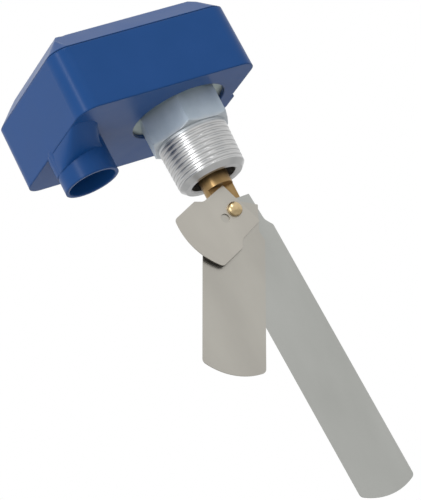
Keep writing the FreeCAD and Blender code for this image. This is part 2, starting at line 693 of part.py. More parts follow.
def paddle_stem():
    """Brass stem: flat tail for the paddles, bellows flange, waist and cross-drilled head."""
    flange_top = BELLOWS_BASE_Z
    flange_bottom = flange_top - STEM_FLANGE_THICKNESS
    head_bottom = PIVOT_Z - STEM_HEAD_DROP
    stud_top = LEVER_TOP + LEVER_NUT_HEIGHT + 1
    body = revolve([
        (0, STEM_END),
        (STEM_RADIUS, STEM_END),
        (STEM_RADIUS, flange_bottom),
        (STEM_FLANGE_RADIUS, flange_bottom),
        (STEM_FLANGE_RADIUS, flange_top),
        (STEM_WAIST_RADIUS, flange_top),
        (STEM_WAIST_RADIUS, head_bottom),
        (STEM_HEAD_RADIUS, head_bottom),
        (STEM_HEAD_RADIUS, LEVER_BOTTOM),
        (STEM_STUD_RADIUS, LEVER_BOTTOM),
        (STEM_STUD_RADIUS, stud_top),
        (0, stud_top),
    ])
    flat = box(-2 * STEM_RADIUS, 2 * STEM_RADIUS, -2 * STEM_RADIUS, -STEM_FLAT_DEPTH,
               STEM_END - 1, STEM_FLAT_TOP)
    pin_bore = rod_x(PIVOT_PIN_RADIUS + RUNNING_GAP, -2 * STEM_RADIUS, 2 * STEM_RADIUS, 0, PIVOT_Z)
    tapped = rod_y(PADDLE_SCREW_RADIUS + STACK_GAP, -STEM_RADIUS,
                   PADDLE_STACK_FRONT + PADDLE_SCREW_GRIP + 1, 0, PADDLE_SCREW_Z)
    return cut_all(body, [flat, pin_bore, tapped])


def rocker_lever():
    """Flat steel lever with a rounded nose under the range spring."""
    half = LEVER_WIDTH / 2
    narrow = LEVER_NOSE_RADIUS
    nose_y = LEVER_BACK - narrow
    bend = math.radians(45)
    side = Part.makePolygon([
        Vector(-narrow, nose_y, LEVER_BOTTOM),
        Vector(-half, SWITCH_Y, LEVER_BOTTOM),
        Vector(-half, -LEVER_FRONT, LEVER_BOTTOM),
        Vector(half, -LEVER_FRONT, LEVER_BOTTOM),
        Vector(half, SWITCH_Y, LEVER_BOTTOM),
        Vector(narrow, nose_y, LEVER_BOTTOM),
    ])
    arc = Part.makePolygon([
        Vector(narrow, nose_y, LEVER_BOTTOM),
        Vector(narrow * math.cos(bend), nose_y + narrow * math.sin(bend), LEVER_BOTTOM),
        Vector(0, LEVER_BACK, LEVER_BOTTOM),
        Vector(-narrow * math.cos(bend), nose_y + narrow * math.sin(bend), LEVER_BOTTOM),
        Vector(-narrow, nose_y, LEVER_BOTTOM),
    ])
    plate = Part.Face(Part.Wire(side.Edges + arc.Edges)).extrude(Vector(0, 0, LEVER_THICKNESS))
    return plate.cut(rod_z(STEM_STUD_RADIUS + STACK_GAP, LEVER_BOTTOM - 1, LEVER_TOP + 1))


def lever_nut():
    nut = hexagon(LEVER_NUT_ACROSS_FLATS, LEVER_TOP, LEVER_TOP + LEVER_NUT_HEIGHT)
    return nut.cut(rod_z(STEM_STUD_RADIUS + STACK_GAP, LEVER_BOTTOM, SWITCH_TOP))


def switch_screw_places():
    first = -SWITCH_LEFT + (SWITCH_LENGTH - SWITCH_SCREW_SPACING) / 2
    return [first, first + SWITCH_SCREW_SPACING]


def microswitch_body():
    body = box(-SWITCH_LEFT, SWITCH_LENGTH - SWITCH_LEFT, SWITCH_Y - SWITCH_DEPTH / 2,
               SWITCH_BACK, SWITCH_BOTTOM, SWITCH_TOP)
    cuts = [rod_z(PLUNGER_RADIUS + CLOSE_GAP, SWITCH_BOTTOM - 1, SWITCH_BOTTOM + PLUNGER_SOCKET,
                  0, SWITCH_Y)]
    for x in switch_screw_places():
        cuts.append(rod_y(SWITCH_SCREW_RADIUS + CLOSE_GAP, -1, SWITCH_BACK + 1, x, SWITCH_SCREW_Z))
    return cut_all(body, cuts)


def microswitch_screws():
    front = SWITCH_Y - SWITCH_DEPTH / 2
    length = SWITCH_DEPTH + BRACKET_THICKNESS + 1
    screws = []
    for x in switch_screw_places():
        screws.append(
            hex_screw(Vector(x, front, SWITCH_SCREW_Z), Y_AXIS, SWITCH_SCREW_RADIUS, length,
                           SWITCH_SCREW_HEAD_RADIUS, SWITCH_SCREW_HEAD_HEIGHT)
        )
    return Part.makeCompound(screws)


def switch_terminals():
    plates = []
    for x in TERMINAL_XS:
        plates.append(
            box(x - TERMINAL_WIDTH / 2, x + TERMINAL_WIDTH / 2, SWITCH_Y - TERMINAL_DEPTH / 2,
                SWITCH_Y + TERMINAL_DEPTH / 2, SWITCH_TOP, SWITCH_TOP + TERMINAL_THICKNESS)
        )
    return Part.makeCompound(plates)


def terminal_screws():
    """Heads of the screws that hold a wire against each terminal."""
    top = SWITCH_TOP + TERMINAL_THICKNESS
    heads = []
    for x in TERMINAL_XS:
        heads.append(
            rod_z(TERMINAL_SCREW_HEAD_RADIUS, top, top + TERMINAL_SCREW_HEAD_HEIGHT, x, SWITCH_Y)
        )
    return Part.makeCompound(heads)


def switch_plunger():
    """Button that rises into the switch; its bevelled end rests just above the lever."""
    tip = LEVER_TOP + CLOSE_GAP
    bevel = PLUNGER_RADIUS / 2
    stem = rod_z(PLUNGER_RADIUS, tip + bevel, SWITCH_BOTTOM + PLUNGER_SOCKET - PLUNGER_TRAVEL,
                 0, SWITCH_Y)
    nose = Part.makeCone(PLUNGER_RADIUS - bevel, PLUNGER_RADIUS, bevel, Vector(0, SWITCH_Y, tip))
    return stem.fuse(nose).removeSplitter()


def switch_bracket():
    """Upright plate behind the switch, with a foot below and the range screw's shelf on top."""
    wall = box(-BRACKET_HALF_WIDTH, BRACKET_HALF_WIDTH, SWITCH_BACK, BRACKET_BACK, PLATE_TOP,
               SHELF_TOP)
    foot_right = CASE_TO_RIGHT - COVER_SCREW_INSET - POST_RADIUS - FIT_GAP
    foot = box(-BRACKET_HALF_WIDTH, foot_right, SWITCH_BACK, BRACKET_BACK + BRACKET_FOOT,
               PLATE_TOP, PLATE_TOP + BRACKET_THICKNESS)
    shelf = box(-SHELF_HALF_WIDTH, SHELF_HALF_WIDTH, SWITCH_BACK, BRACKET_BACK + SHELF_REACH,
                SHELF_BOTTOM, SHELF_TOP)
    plate = fuse_all(wall, [foot, shelf])
    window = box(-WINDOW_HALF_WIDTH, WINDOW_HALF_WIDTH, SWITCH_BACK - 1, BRACKET_BACK + 1,
                 LEVER_BOTTOM - WINDOW_MARGIN, LEVER_TOP + WINDOW_MARGIN)
    cuts = [window, rod_z(RANGE_SCREW_RADIUS + RUNNING_GAP, SHELF_BOTTOM - 1, SHELF_TOP + 1, 0,
                          RANGE_Y)]
    for x in BRACKET_SCREW_XS:
        cuts.append(
            rod_z(BRACKET_SCREW_RADIUS + STACK_GAP, PLATE_TOP - 1,
                  PLATE_TOP + BRACKET_THICKNESS + 1, x, BRACKET_BACK + BRACKET_FOOT / 2)
        )
    for x in switch_screw_places():
        cuts.append(
            rod_y(SWITCH_SCREW_RADIUS + STACK_GAP, SWITCH_BACK - 1, BRACKET_BACK + 1, x,
                  SWITCH_SCREW_Z)
        )
    return cut_all(plate, cuts)


def bracket_screws():
    screws = []
    for x in BRACKET_SCREW_XS:
        base = Vector(x, BRACKET_BACK + BRACKET_FOOT / 2, PLATE_TOP + BRACKET_THICKNESS)
        screws.append(
            hex_screw(base, Z_AXIS * -1, BRACKET_SCREW_RADIUS,
                           BRACKET_THICKNESS + PLATE_THICKNESS - STACK_GAP,
                           BRACKET_SCREW_HEAD_RADIUS, BRACKET_SCREW_HEAD_HEIGHT)
        )
    return Part.makeCompound(screws)


def range_screw():
    base = Vector(0, RANGE_Y, SHELF_TOP + STACK_GAP)
    return machine_screw(base, Z_AXIS * -1, RANGE_SCREW_RADIUS,
                          BRACKET_THICKNESS + RANGE_SCREW_DROP, RANGE_HEAD_RADIUS,
                          RANGE_HEAD_HEIGHT)


def range_screw_clip():
    top = SHELF_BOTTOM - CLOSE_GAP
    clip = rod_z(RANGE_CLIP_RADIUS, top - RANGE_CLIP_THICKNESS, top, 0, RANGE_Y)
    bore = rod_z(RANGE_SCREW_RADIUS, PLATE_TOP, SHELF_TOP, 0, RANGE_Y)
    mouth = box(-RANGE_SCREW_RADIUS / 2, RANGE_SCREW_RADIUS / 2, RANGE_Y,
                RANGE_Y + 2 * RANGE_CLIP_RADIUS, PLATE_TOP, SHELF_TOP)
    return clip.cut(bore).cut(mouth)


def range_nut():
    front = BRACKET_BACK + FIT_GAP
    nut = box(-RANGE_NUT_SIZE / 2, RANGE_NUT_SIZE / 2, front, front + RANGE_NUT_SIZE,
              RANGE_NUT_BOTTOM, RANGE_NUT_TOP)
    return nut.cut(rod_z(RANGE_SCREW_RADIUS + RUNNING_GAP, PLATE_TOP, SHELF_TOP, 0, RANGE_Y))


def range_spring():
    """Compression spring between the lever's nose and the range nut, in short straight runs."""
    bottom = LEVER_TOP + STACK_GAP + SPRING_WIRE_RADIUS
    top = RANGE_NUT_BOTTOM - STACK_GAP - SPRING_WIRE_RADIUS
    near, far = SPRING_COIL_RADIUS - SPRING_WIRE_RADIUS, SPRING_COIL_RADIUS + SPRING_WIRE_RADIUS
    steps = int(SPRING_TURNS * SPRING_RUNS_PER_TURN)
    sections = []
    for step in range(steps + 1):
        turn = 2 * math.pi * step / SPRING_RUNS_PER_TURN
        z = bottom + (top - bottom) * step / steps
        corners = []
        for radius, rise in ((near, -1), (far, -1), (far, 1), (near, 1)):
            corners.append(Vector(radius * math.cos(turn), RANGE_Y + radius * math.sin(turn),
                                  z + rise * SPRING_WIRE_RADIUS))
        sections.append(Part.makePolygon(corners + corners[:1]))
    return Part.makeLoft(sections, True, True)


def ground_screw():
    base = Vector(-PLATE_LEFT, GROUND_Y, GROUND_Z)
    return hex_screw(base, X_AXIS, GROUND_SCREW_RADIUS, GROUND_SCREW_REACH,
                          GROUND_HEAD_RADIUS, GROUND_HEAD_HEIGHT)


def paddle_screw():
    """Raised head against the paddles and a shank into the stem's tapped hole."""
    shoulder = PADDLE_STACK_FRONT - PADDLE_HEAD_HEIGHT + PADDLE_HEAD_BEVEL
    head = rod_y(PADDLE_HEAD_RADIUS, shoulder, PADDLE_STACK_FRONT, 0, PADDLE_SCREW_Z)
    crown = Part.makeCone(PADDLE_HEAD_RADIUS, PADDLE_HEAD_RADIUS - PADDLE_HEAD_BEVEL,
                          PADDLE_HEAD_BEVEL, Vector(0, shoulder, PADDLE_SCREW_Z), Y_AXIS * -1)
    head = head.fuse(crown)
    shank = rod_y(PADDLE_SCREW_RADIUS, PADDLE_STACK_FRONT, PADDLE_STACK_FRONT + PADDLE_SCREW_GRIP,
                  0, PADDLE_SCREW_Z)
    return head.fuse(shank).removeSplitter()


def edges_at_height(blank, z, depth):
    """The edges through a sheet's thickness that lie at one height."""
    found = []
    for edge in blank.Edges:
        points = [vertex.Point for vertex in edge.Vertexes]
        through = len(points) == 2 and abs(points[0].y - points[1].y) > depth / 2
        if through and abs(points[0].z - z) < CLOSE_GAP:
            found.append(edge)
    return found


def paddle_blank(length, depth):
    """Paddle outline hanging straight down from the screw, extruded towards +Y."""
    half = PADDLE_WIDTH / 2
    tip_corner = length - PADDLE_TIP_RISE
    right = [
        Vector(PADDLE_HEEL_WIDTH / 2, 0, PADDLE_HEEL),
        Vector(PADDLE_NECK_WIDTH / 2, 0, -PADDLE_NECK_END),
        Vector(half, 0, -PADDLE_SHOULDER_END),
        Vector(half, 0, -tip_corner),
    ]
    left = [Vector(-point.x, 0, point.z) for point in reversed(right)]
    tip = Part.Arc(right[-1], Vector(0, 0, -length), left[0]).toShape()
    sides = Part.makePolygon(left + right)
    blank = Part.Face(Part.Wire(sides.Edges + [tip])).extrude(Vector(0, depth, 0))
    blank = blank.makeFillet(PADDLE_NECK_FILLET, edges_at_height(blank, -PADDLE_NECK_END, depth))
    blank = blank.makeFillet(PADDLE_CORNER_RADIUS, edges_at_height(blank, -tip_corner, depth))
    pivot = rod_y(PADDLE_HOLE_RADIUS, -1, depth + 1, 0, 0)
    spare = rod_y(PADDLE_SPARE_HOLE_RADIUS, -1, depth + 1, 0, -PADDLE_HOLE_SPACING)
    return cut_all(blank, [pivot, spare])


def hang_paddle(paddle, back, swing):
    """Bring a paddle to the screw with its back face on a plane, swung towards +X."""
    paddle.rotate(Vector(0, 0, 0), Y_AXIS, -swing)
    paddle.translate(Vector(0, back - PADDLE_THICKNESS, PADDLE_SCREW_Z))
    return paddle


def long_paddle():
    blank = paddle_blank(LONG_PADDLE_LENGTH, PADDLE_THICKNESS)
    return hang_paddle(blank, LONG_PADDLE_BACK, LONG_PADDLE_SWING)


def medium_paddle():
    blank = paddle_blank(MEDIUM_PADDLE_LENGTH, PADDLE_THICKNESS)
    return hang_paddle(blank, MEDIUM_PADDLE_BACK, MEDIUM_PADDLE_SWING)


def small_paddle():
    """The smallest paddle, bent slightly away from the others below its screw."""
    lean = math.tan(math.radians(SMALL_PADDLE_BEND))
    reach = SMALL_PADDLE_LENGTH + 1
    offset = (reach - SMALL_PADDLE_BEND_START) * lean
    deep = paddle_blank(SMALL_PADDLE_LENGTH, 2 * offset)
    deep.translate(Vector(0, PADDLE_THICKNESS - 2 * offset, 0))
    strip = [
        Vector(0, 0, PADDLE_HEEL + 1),
        Vector(0, PADDLE_THICKNESS, PADDLE_HEEL + 1),
        Vector(0, PADDLE_THICKNESS, -SMALL_PADDLE_BEND_START),
        Vector(0, PADDLE_THICKNESS - offset, -reach),
        Vector(0, -offset, -reach),
        Vector(0, 0, -SMALL_PADDLE_BEND_START),
    ]
    wire = Part.makePolygon(strip + strip[:1])
    wire.translate(Vector(-PADDLE_WIDTH, 0, 0))
    bent = deep.common(Part.Face(wire).extrude(Vector(2 * PADDLE_WIDTH, 0, 0)))
    return hang_paddle(bent, SMALL_PADDLE_BACK, SMALL_PADDLE_SWING)


PIECES = (
    housing,
    cover,
    cover_gasket,
    cover_screws,
    pipe_fitting,
    fitting_lock_nut,
    bellows,
    chassis_plate,
    chassis_screws,
    pivot_pin,
    pivot_clip,
    paddle_stem,
    rocker_lever,
    lever_nut,
    microswitch_body,
    microswitch_screws,
    switch_terminals,
    terminal_screws,
    switch_plunger,
    switch_bracket,
    bracket_screws,
    range_screw,
    range_screw_clip,
    range_nut,
    range_spring,
    ground_screw,
    paddle_screw,
    long_paddle,
    medium_paddle,
    small_paddle,
)

os.makedirs("parts", exist_ok=True)
for piece in PIECES:
    piece().exportStep("parts/" + piece.__name__ + ".step")
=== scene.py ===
import json
import math

import bmesh
import bpy
from mathutils import Matrix, Vector

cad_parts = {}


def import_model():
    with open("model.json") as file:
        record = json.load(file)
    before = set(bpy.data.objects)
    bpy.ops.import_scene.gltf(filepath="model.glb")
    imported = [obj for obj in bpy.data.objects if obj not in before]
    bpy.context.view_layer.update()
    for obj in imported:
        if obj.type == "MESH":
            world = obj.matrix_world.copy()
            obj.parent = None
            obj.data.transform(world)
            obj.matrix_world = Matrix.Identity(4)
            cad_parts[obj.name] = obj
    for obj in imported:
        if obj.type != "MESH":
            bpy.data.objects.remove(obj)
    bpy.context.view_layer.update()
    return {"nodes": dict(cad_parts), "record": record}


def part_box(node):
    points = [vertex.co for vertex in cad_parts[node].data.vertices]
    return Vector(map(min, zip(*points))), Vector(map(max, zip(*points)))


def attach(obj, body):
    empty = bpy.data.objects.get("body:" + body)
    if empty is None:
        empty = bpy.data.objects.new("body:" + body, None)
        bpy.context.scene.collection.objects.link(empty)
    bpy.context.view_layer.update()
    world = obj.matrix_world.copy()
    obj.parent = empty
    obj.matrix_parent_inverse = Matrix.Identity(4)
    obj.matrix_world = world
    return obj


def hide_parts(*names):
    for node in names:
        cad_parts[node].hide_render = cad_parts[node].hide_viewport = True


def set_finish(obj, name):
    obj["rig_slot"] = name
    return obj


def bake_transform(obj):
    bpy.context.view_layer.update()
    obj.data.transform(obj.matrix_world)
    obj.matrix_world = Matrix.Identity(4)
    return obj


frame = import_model()
nodes = frame["nodes"]
record = frame["record"]

# Camera, as the photograph was taken: from the front left and from below, with the switch
# leaning to the left in the picture
VIEW_AZIMUTH = -31.79
VIEW_ELEVATION = -15.71
VIEW_ROLL = -27.31
VIEW_DISTANCE = 1.4725
VIEW_TARGET = Vector((-0.01875, -0.00042, -0.0532))
LENS_MM = 242.35
SENSOR_MM = 36.0
CLIP_NEAR = 0.01
CLIP_FAR = 50

# Stage and light
FLOOR_Z = -3.0
FLOOR_REACH = 30.0
FLOOR_NOISE_SCALE = 2.0
FLOOR_NOISE_DETAIL = 4.0
FLOOR_TONES = ((0.66, 0.66, 0.66), (0.70, 0.70, 0.70))
FLOOR_ROUGHNESS = 0.9
# Broad soft panels of light round the object: azimuth, elevation and reach in degrees, and level
PANELS = [
    (0, 0, 45, 0.78),
    (90, 0, 45, 0.85),
    (180, 0, 45, 0.85),
    (-90, 0, 45, 1.20),
    (0, 90, 45, 0.85),
    (0, -90, 45, 0.72),
]
# A panel is at full level within the first share of its reach and gone beyond the second
PANEL_CORE = 0.5
PANEL_RIM = 1.5
# Soft strips that draw the highlights: name, direction, width, height and radiance
STRIPS = [
    ("left_strip", (-0.800, -0.525, 0.292), 0.15, 0.9, 12.0),
    ("front_strip", (-0.037, -0.706, 0.707), 0.20, 0.4, 14.0),
]
STRIP_DISTANCE = 1.3

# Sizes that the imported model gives
fitting_low, fitting_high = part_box("pipe_fitting")
screw_low, screw_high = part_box("paddle_screw")
housing_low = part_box("housing")[0]
thread_mount = next(m for m in record["mounts"] if m["name"] == "pipe_thread")
cable_mount = next(m for m in record["mounts"] if m["name"] == "cable_entry")

# Turned profiles stop this short of the axis
AXIS_RADIUS = 0.00001
# Sides of the turned bodies, and the angles in degrees above which an edge stays sharp
FITTING_SIDES = 180
SCREW_SIDES = 48
SHARP_ANGLE = 35.0
CURVED_ANGLE = 50.0

# Pipe fitting, in metres and degrees
THREAD_TOP_RADIUS = thread_mount["dims"]["r_mm"] / 1000
THREAD_LENGTH = -fitting_low[2]
THREAD_ROWS = 220
THREAD_TAPER = 1 / 32
THREAD_PITCH = 0.002309
THREAD_DEPTH = 0.00032
THREAD_RUNOUT = 0.0026
THREAD_CHAMFER = 0.0023
THREAD_CHAMFER_SLOPE = 0.9
FITTING_BORE = 0.01075
BORE_CHAMFER_WIDTH = 0.0006
BORE_CHAMFER_HEIGHT = 0.0008
HEX_FLAT = 0.0178
HEX_TURN = 4.0
HEX_HEIGHT = 0.0155
HEX_BEVEL = 0.0012
HEX_BEVEL_SLOPE = 1.7
HEX_BEVEL_STEPS = 4
COLLAR_RADIUS = 0.013
COLLAR_TOP = fitting_high[2]
# Shares of the thread's pitch that its crest and its two flanks take
THREAD_CREST = 0.42
THREAD_FLANK = 0.3

# Paddle screw, in metres
PADDLE_HEAD_HEIGHT = 0.0025
PADDLE_HEAD_CROWN = 0.0019
PADDLE_HEAD_STEPS = 12
PADDLE_SHANK_RADIUS = 0.002

# Screws with driver slots: node, body, how many, radius and height of the head, radius of the
# shank, and the turn of each slot in degrees
DRIVEN_SCREWS = [
    ("cover_screws", "cover", 2, 0.0031, 0.0022, 0.0015, (0, 90)),
    ("terminal_screws", "housing", 3, 0.0029, 0.0017, 0.0015, (0,)),
    ("range_screw", "range_screw", 1, 0.0040, 0.0026, 0.0020, (0,)),
]
# Crown and slot depth are shares of the head's height, slot length and width of its radius
HEAD_CROWN = 0.3
HEAD_STEPS = 8
SLOT_LENGTH = 2.2
CROSS_LENGTH = 1.25
SLOT_WIDTH = 0.26
SLOT_DEPTH = 0.6
# Degrees from one screw's slots to the next one's
SLOT_TURN = 37.0
SHORTEST_SHANK = 0.0001

# Range spring
SPRING_WIRE_RADIUS = 0.00045
SPRING_TURNS = 3
SPRING_STEPS_PER_TURN = 28
SPRING_SIDES = 12

# Moulded ramp beside the cable spigot, in metres
SPIGOT_X, SPIGOT_Y = cable_mount["pos_m"][0], cable_mount["pos_m"][1]
SPIGOT_RADIUS = 0.0128
UNDERSIDE_Z = 0.0135
FAIRING_LEFT = -0.06395
FAIRING_RIGHT = -0.0464
FAIRING_FRONT = -0.0204
FAIRING_LEFT_RADIUS = 0.003
FAIRING_RIGHT_RADIUS = 0.0144
FAIRING_SHALLOW = 0.0068
FAIRING_DEEP = 0.0095
FAIRING_SWELL = 0.00035
FAIRING_ROOT = 0.0008
FAIRING_OVERLAP = 0.0006
FAIRING_LIFT = 0.00001
FAIRING_INSET = 0.00002
# Where the ramp starts and ends on the spigot's wall, and where the ribs of each stretch of its
# root end on it, in degrees
FAIRING_START = -60
FAIRING_END = -240
TURN_BENDS = (-62, -110)
CORNER_BENDS = (-112, -138)
SIDE_BENDS = (-142, -180)
BACK_BENDS = (-184, FAIRING_END)
# Degrees that the ramp takes to its full depth, and that its swell takes to come and to go, down
# to the share of it that is left at the end
FAIRING_DEEPENS_OVER = 120
FAIRING_SWELLS_OVER = 30
FAIRING_FADES_OVER = 20
FAIRING_SWELL_LEFT = 0.03
# Steps between the ribs of each stretch, and down each rib
TURN_STEPS = 14
CORNER_STEPS = 6
SIDE_STEPS = 8
BACK_STEPS = 10
RIB_STEPS = 8

# Finishes: the range of the noise that carries the tones, and the share by which roughness varies
NOISE_LOW = 0.3
NOISE_HIGH = 0.7
ROUGHNESS_SPREAD = 0.12
TONE_DETAIL = 5.0
RELIEF_DETAIL = 3.0
EDGE_SAMPLES = 6
# The fitting turns from thread to hexagon over this height either side of the hexagon's face
FITTING_BLEND = 0.002
FITTING_SCALE = 180.0
FITTING_RELIEF = 0.12
FITTING_RELIEF_SCALE = 900.0
FITTING_RELIEF_SIZE = 0.0001
THREAD_TONES = ((0.46, 0.465, 0.465), (0.54, 0.54, 0.535))
THREAD_ROUGHNESS = (0.28, 0.36)
# The hexagon's tones are the plating's duller grey with a painted bluish reflection of the blue
# casing
HEX_TONES_WITH_PAINTED_REFLECTION = ((0.43, 0.50, 0.56), (0.51, 0.58, 0.64))
HEX_EXTRA_ROUGHNESS = 0.23
# Pieces and nodes whose finish isn't the one of their slot
OWN_FINISHES = {
    # The screw keeps a lighter brass, as the slot's brass carries painted shade from the bore
    "paddle_screw_dome": "bright_brass",
    "long_paddle": "cool_sheet",
    "small_paddle": "warm_sheet",
}


# Meshes


def link(name, data):
    made = bpy.data.objects.new(name, data)
    bpy.context.scene.collection.objects.link(made)
    return made


def soften(mesh, sharp_angle):
    """Smooth shading, with the edges kept sharp where the faces turn by more than an angle."""
    work = bmesh.new()
    work.from_mesh(mesh)
    bmesh.ops.recalc_face_normals(work, faces=work.faces)
    for face in work.faces:
        face.smooth = True
    for edge in work.edges:
        if len(edge.link_faces) == 2:
            edge.smooth = edge.calc_face_angle(0) < math.radians(sharp_angle)
    work.to_mesh(mesh)
    work.free()


def add_mesh(name, verts, faces, sharp_angle=SHARP_ANGLE):
    mesh = bpy.data.meshes.new(name)
    mesh.from_pydata([tuple(v) for v in verts], [], faces)
    soften(mesh, sharp_angle)
    return link(name, mesh)


def bands(rows, size):
    """Faces between pairs of rows, where each row is a closed outline of the same size."""
    faces = []
    for j, k in rows:
        for i in range(size):
            n = (i + 1) % size
            faces.append((j * size + i, j * size + n, k * size + n, k * size + i))
    return faces


def skin(outlines):
    """Points and faces of a body that runs through closed outlines, with a cap on each end."""
    size = len(outlines[0])
    verts = [point for outline in outlines for point in outline]
    faces = bands([(j, j + 1) for j in range(len(outlines) - 1)], size)
    faces.append(tuple(range(size)))
    faces.append(tuple(range(len(verts) - 1, len(verts) - 1 - size, -1)))
    return verts, faces


def lathe(name, rings, sides):
    """Turned body about the Z axis: each ring is a function of the angle that gives (r, z)."""
    verts = []
    for ring in rings:
        for i in range(sides):
            angle = 2 * math.pi * i / sides
            r, z = ring(angle)
            verts.append((r * math.cos(angle), r * math.sin(angle), z))
    count = len(rings)
    faces = bands([(j, (j + 1) % count) for j in range(count)], sides)
    return add_mesh(name, verts, faces)


def fixed_ring(radius, z):
    return lambda angle: (radius, z)


def even(first, last, steps):
    return [first + (last - first) * step / steps for step in range(steps + 1)]


def on_circle(x, y, radius, degrees):
    angle = math.radians(degrees)
    return x + radius * math.cos(angle), y + radius * math.sin(angle)


def arc(x, y, radius, start, end, steps):
    return [on_circle(x, y, radius, degrees) for degrees in even(start, end, steps)]


def clamped(value):
    """The value held between 0 and 1."""
    return min(max(value, 0.0), 1.0)


# Pipe fitting


def hex_radius(angle):
    """Distance from the axis to the hexagon's side at an angle."""
    sector = math.pi / 3
    offset = (angle - math.radians(HEX_TURN)) % sector - sector / 2
    return HEX_FLAT / math.cos(offset)


def hex_ring(limit, z):
    return lambda angle: (min(hex_radius(angle), limit), z)


def thread_ring(depth_below_hex):
    """One ring of the tapered thread, with the helix worked into its radius."""
    def ring(angle):
        crest = THREAD_TOP_RADIUS - depth_below_hex * THREAD_TAPER
        turn = (depth_below_hex / THREAD_PITCH + angle / (2 * math.pi)) % 1.0
        fall = clamped((abs(2 * turn - 1) - THREAD_CREST) / THREAD_FLANK)
        start = min(depth_below_hex / THREAD_RUNOUT, 1.0)
        radius = crest - THREAD_DEPTH * fall * start
        end = THREAD_LENGTH - depth_below_hex
        if end < THREAD_CHAMFER:
            radius = min(radius, crest - (THREAD_CHAMFER - end) * THREAD_CHAMFER_SLOPE)
        return radius, -depth_below_hex
    return ring


def pipe_fitting():
    """Fitting with its helical thread: down the bore, up the thread and hexagon to the collar."""
    rings = [
        fixed_ring(FITTING_BORE, COLLAR_TOP),
        fixed_ring(FITTING_BORE, -THREAD_LENGTH + BORE_CHAMFER_HEIGHT),
        fixed_ring(FITTING_BORE + BORE_CHAMFER_WIDTH, -THREAD_LENGTH),
    ]
    for row in range(THREAD_ROWS, -1, -1):
        rings.append(thread_ring(THREAD_LENGTH * row / THREAD_ROWS))
    corner = HEX_FLAT / math.cos(math.pi / 6)
    for step in range(HEX_BEVEL_STEPS + 1):
        rise = HEX_BEVEL * step / HEX_BEVEL_STEPS
        rings.append(hex_ring(corner - (HEX_BEVEL - rise) * HEX_BEVEL_SLOPE, rise))
    rings.append(hex_ring(corner, HEX_HEIGHT))
    rings.append(fixed_ring(COLLAR_RADIUS, HEX_HEIGHT))
    rings.append(fixed_ring(COLLAR_RADIUS, COLLAR_TOP))
    piece = lathe("threaded_fitting", rings, FITTING_SIDES)
    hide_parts("pipe_fitting")
    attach(piece, "housing")
    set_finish(piece, "nickel_plate")
    return piece


# Screws


def dome(radius, top, drop, steps):
    """Profile of a rounded head, from its axis to its rim, which lies a drop below the top."""
    profile = [(AXIS_RADIUS, top)]
    for step in range(1, steps + 1):
        angle = math.pi / 2 * step / steps
        profile.append((radius * math.sin(angle), top - drop * (1 - math.cos(angle))))
    return profile


def turned(name, profile):
    return lathe(name, [fixed_ring(r, z) for r, z in profile], SCREW_SIDES)


def paddle_screw():
    """Domed brass screw in front of the paddles, turned upright and then laid along Y."""
    radius = (screw_high[0] - screw_low[0]) / 2
    centre = Vector(((screw_low[0] + screw_high[0]) / 2, 0, (screw_low[2] + screw_high[2]) / 2))
    front, back = screw_low[1], screw_high[1]
    seat = front + PADDLE_HEAD_HEIGHT
    profile = dome(radius, front, -PADDLE_HEAD_CROWN, PADDLE_HEAD_STEPS)
    profile += [(radius, seat), (PADDLE_SHANK_RADIUS, seat), (PADDLE_SHANK_RADIUS, back)]
    profile.append((AXIS_RADIUS, back))
    piece = turned("paddle_screw_dome", profile)
    turn = Matrix.Rotation(math.radians(-90), 4, "X")
    piece.data.transform(Matrix.Translation(centre) @ turn)
    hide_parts("paddle_screw")
    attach(piece, "paddle_arm")
    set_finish(piece, "brass")
    return piece


def cut_slot(piece, middle, length, width, depth, turn):
    """Cuts a slot with flat walls down into a head, across its middle."""
    corners = [(x * length / 2, y * width / 2, z * depth)
               for x in (-1, 1) for y in (-1, 1) for z in (-1, 1)]
    sides = [(0, 1, 3, 2), (4, 6, 7, 5), (0, 4, 5, 1), (2, 3, 7, 6), (0, 2, 6, 4), (1, 5, 7, 3)]
    cutter = add_mesh("slot_cutter", corners, sides)
    cutter.data.transform(Matrix.Translation(middle) @ Matrix.Rotation(math.radians(turn), 4, "Z"))
    cut = piece.modifiers.new("slot", "BOOLEAN")
    cut.object = cutter
    bpy.context.view_layer.update()
    solid = piece.evaluated_get(bpy.context.evaluated_depsgraph_get())
    mesh = bpy.data.meshes.new_from_object(solid)
    piece.modifiers.clear()
    piece.data = mesh
    bpy.data.objects.remove(cutter)
    soften(mesh, SHARP_ANGLE)


def driven_screws(node, body, count, head_radius, head_height, shank_radius, turns):
    """Upright screws along the diagonal of their node's box, each with its driver's slots."""
    low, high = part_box(node)
    top = high[2]
    seat = top - head_height
    profile = dome(head_radius, top, head_height * HEAD_CROWN, HEAD_STEPS)
    profile.append((head_radius, seat))
    if seat - low[2] > SHORTEST_SHANK:
        profile += [(shank_radius, seat), (shank_radius, low[2])]
    profile.append((AXIS_RADIUS, low[2]))
    reach = CROSS_LENGTH if len(turns) > 1 else SLOT_LENGTH
    made = []
    for k in range(count):
        along = k / max(count - 1, 1)
        x = low[0] + head_radius + (high[0] - low[0] - 2 * head_radius) * along
        y = low[1] + head_radius + (high[1] - low[1] - 2 * head_radius) * along
        piece = turned(f"{node}_{k + 1}", profile)
        piece.data.transform(Matrix.Translation((x, y, 0)))
        for turn in turns:
            cut_slot(piece, Vector((x, y, top)), head_radius * reach, head_radius * SLOT_WIDTH,
                     head_height * SLOT_DEPTH, turn + SLOT_TURN * (k + 1))
        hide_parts(node)
        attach(piece, body)
        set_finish(piece, "steel_fastener")
        made.append(piece)
    return made


# Range spring


